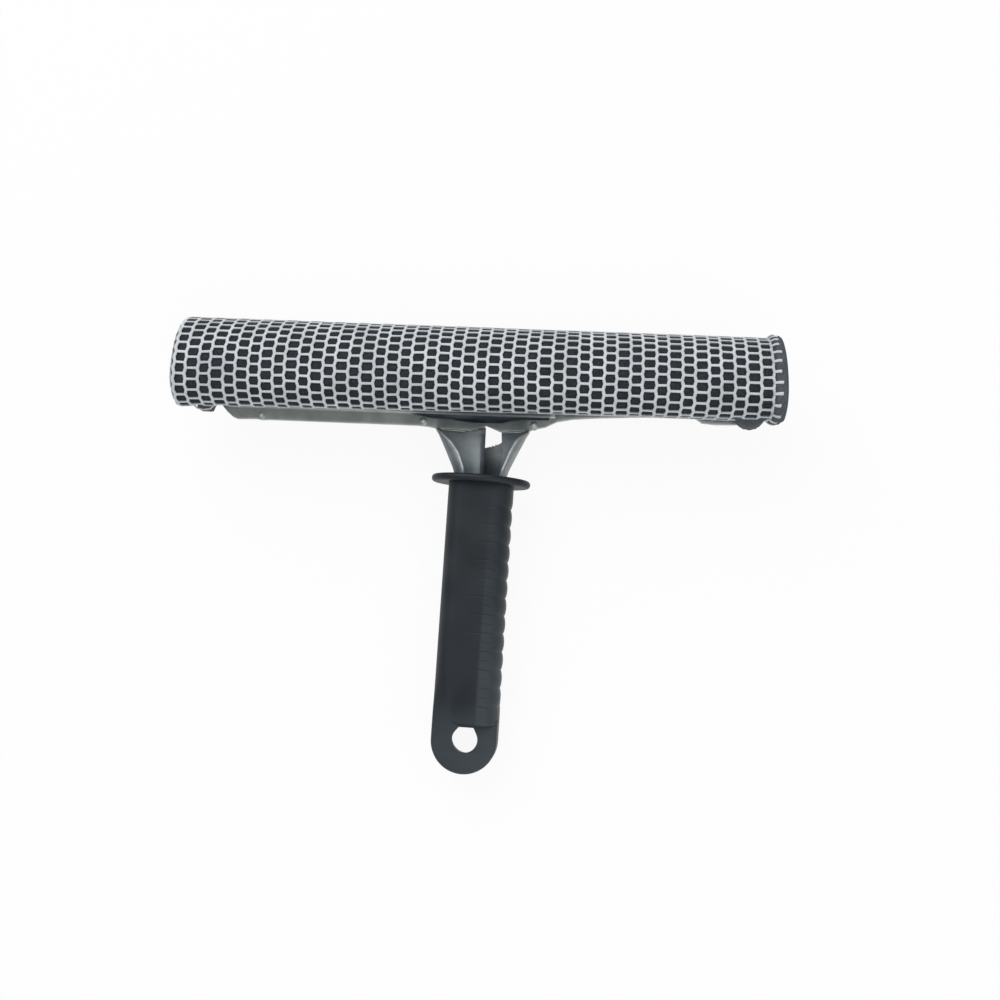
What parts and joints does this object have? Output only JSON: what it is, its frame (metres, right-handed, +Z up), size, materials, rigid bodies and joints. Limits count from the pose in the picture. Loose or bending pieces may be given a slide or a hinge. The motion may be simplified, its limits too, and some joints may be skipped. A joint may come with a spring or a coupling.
{
  "type": "window scrubber",
  "caption": "Hand scrubber for windows: a foam roll in a white knitted net and a rubber wiper blade on a pressed steel head, with a black moulded handle.",
  "frame": {"origin": "on the surface the tool lies on, under the middle of its box", "axes": "+X along the head towards the foam's open end, +Y from the handle to the head, +Z up, away from the surface; the tool lies on its blade and its grip, foam up"},
  "size_m": [0.252, 0.1858, 0.0463],
  "materials": {
    "foam": "matte",
    "net": "matte",
    "steel": "satin",
    "rivet_metal": "satin",
    "blade_rubber": "matte",
    "handle_plastic": "satin"
  },
  "bodies": {
    "root": {"scrubber_foam": "foam", "scrubber_net": "net", "front_plate": "steel", "back_plate": "steel", "plate_rivets": "rivet_metal", "blade_channel": "steel", "channel_rivets": "rivet_metal", "rubber_blade": "blade_rubber", "handle_grip": "handle_plastic"}
  },
  "joints": []
}
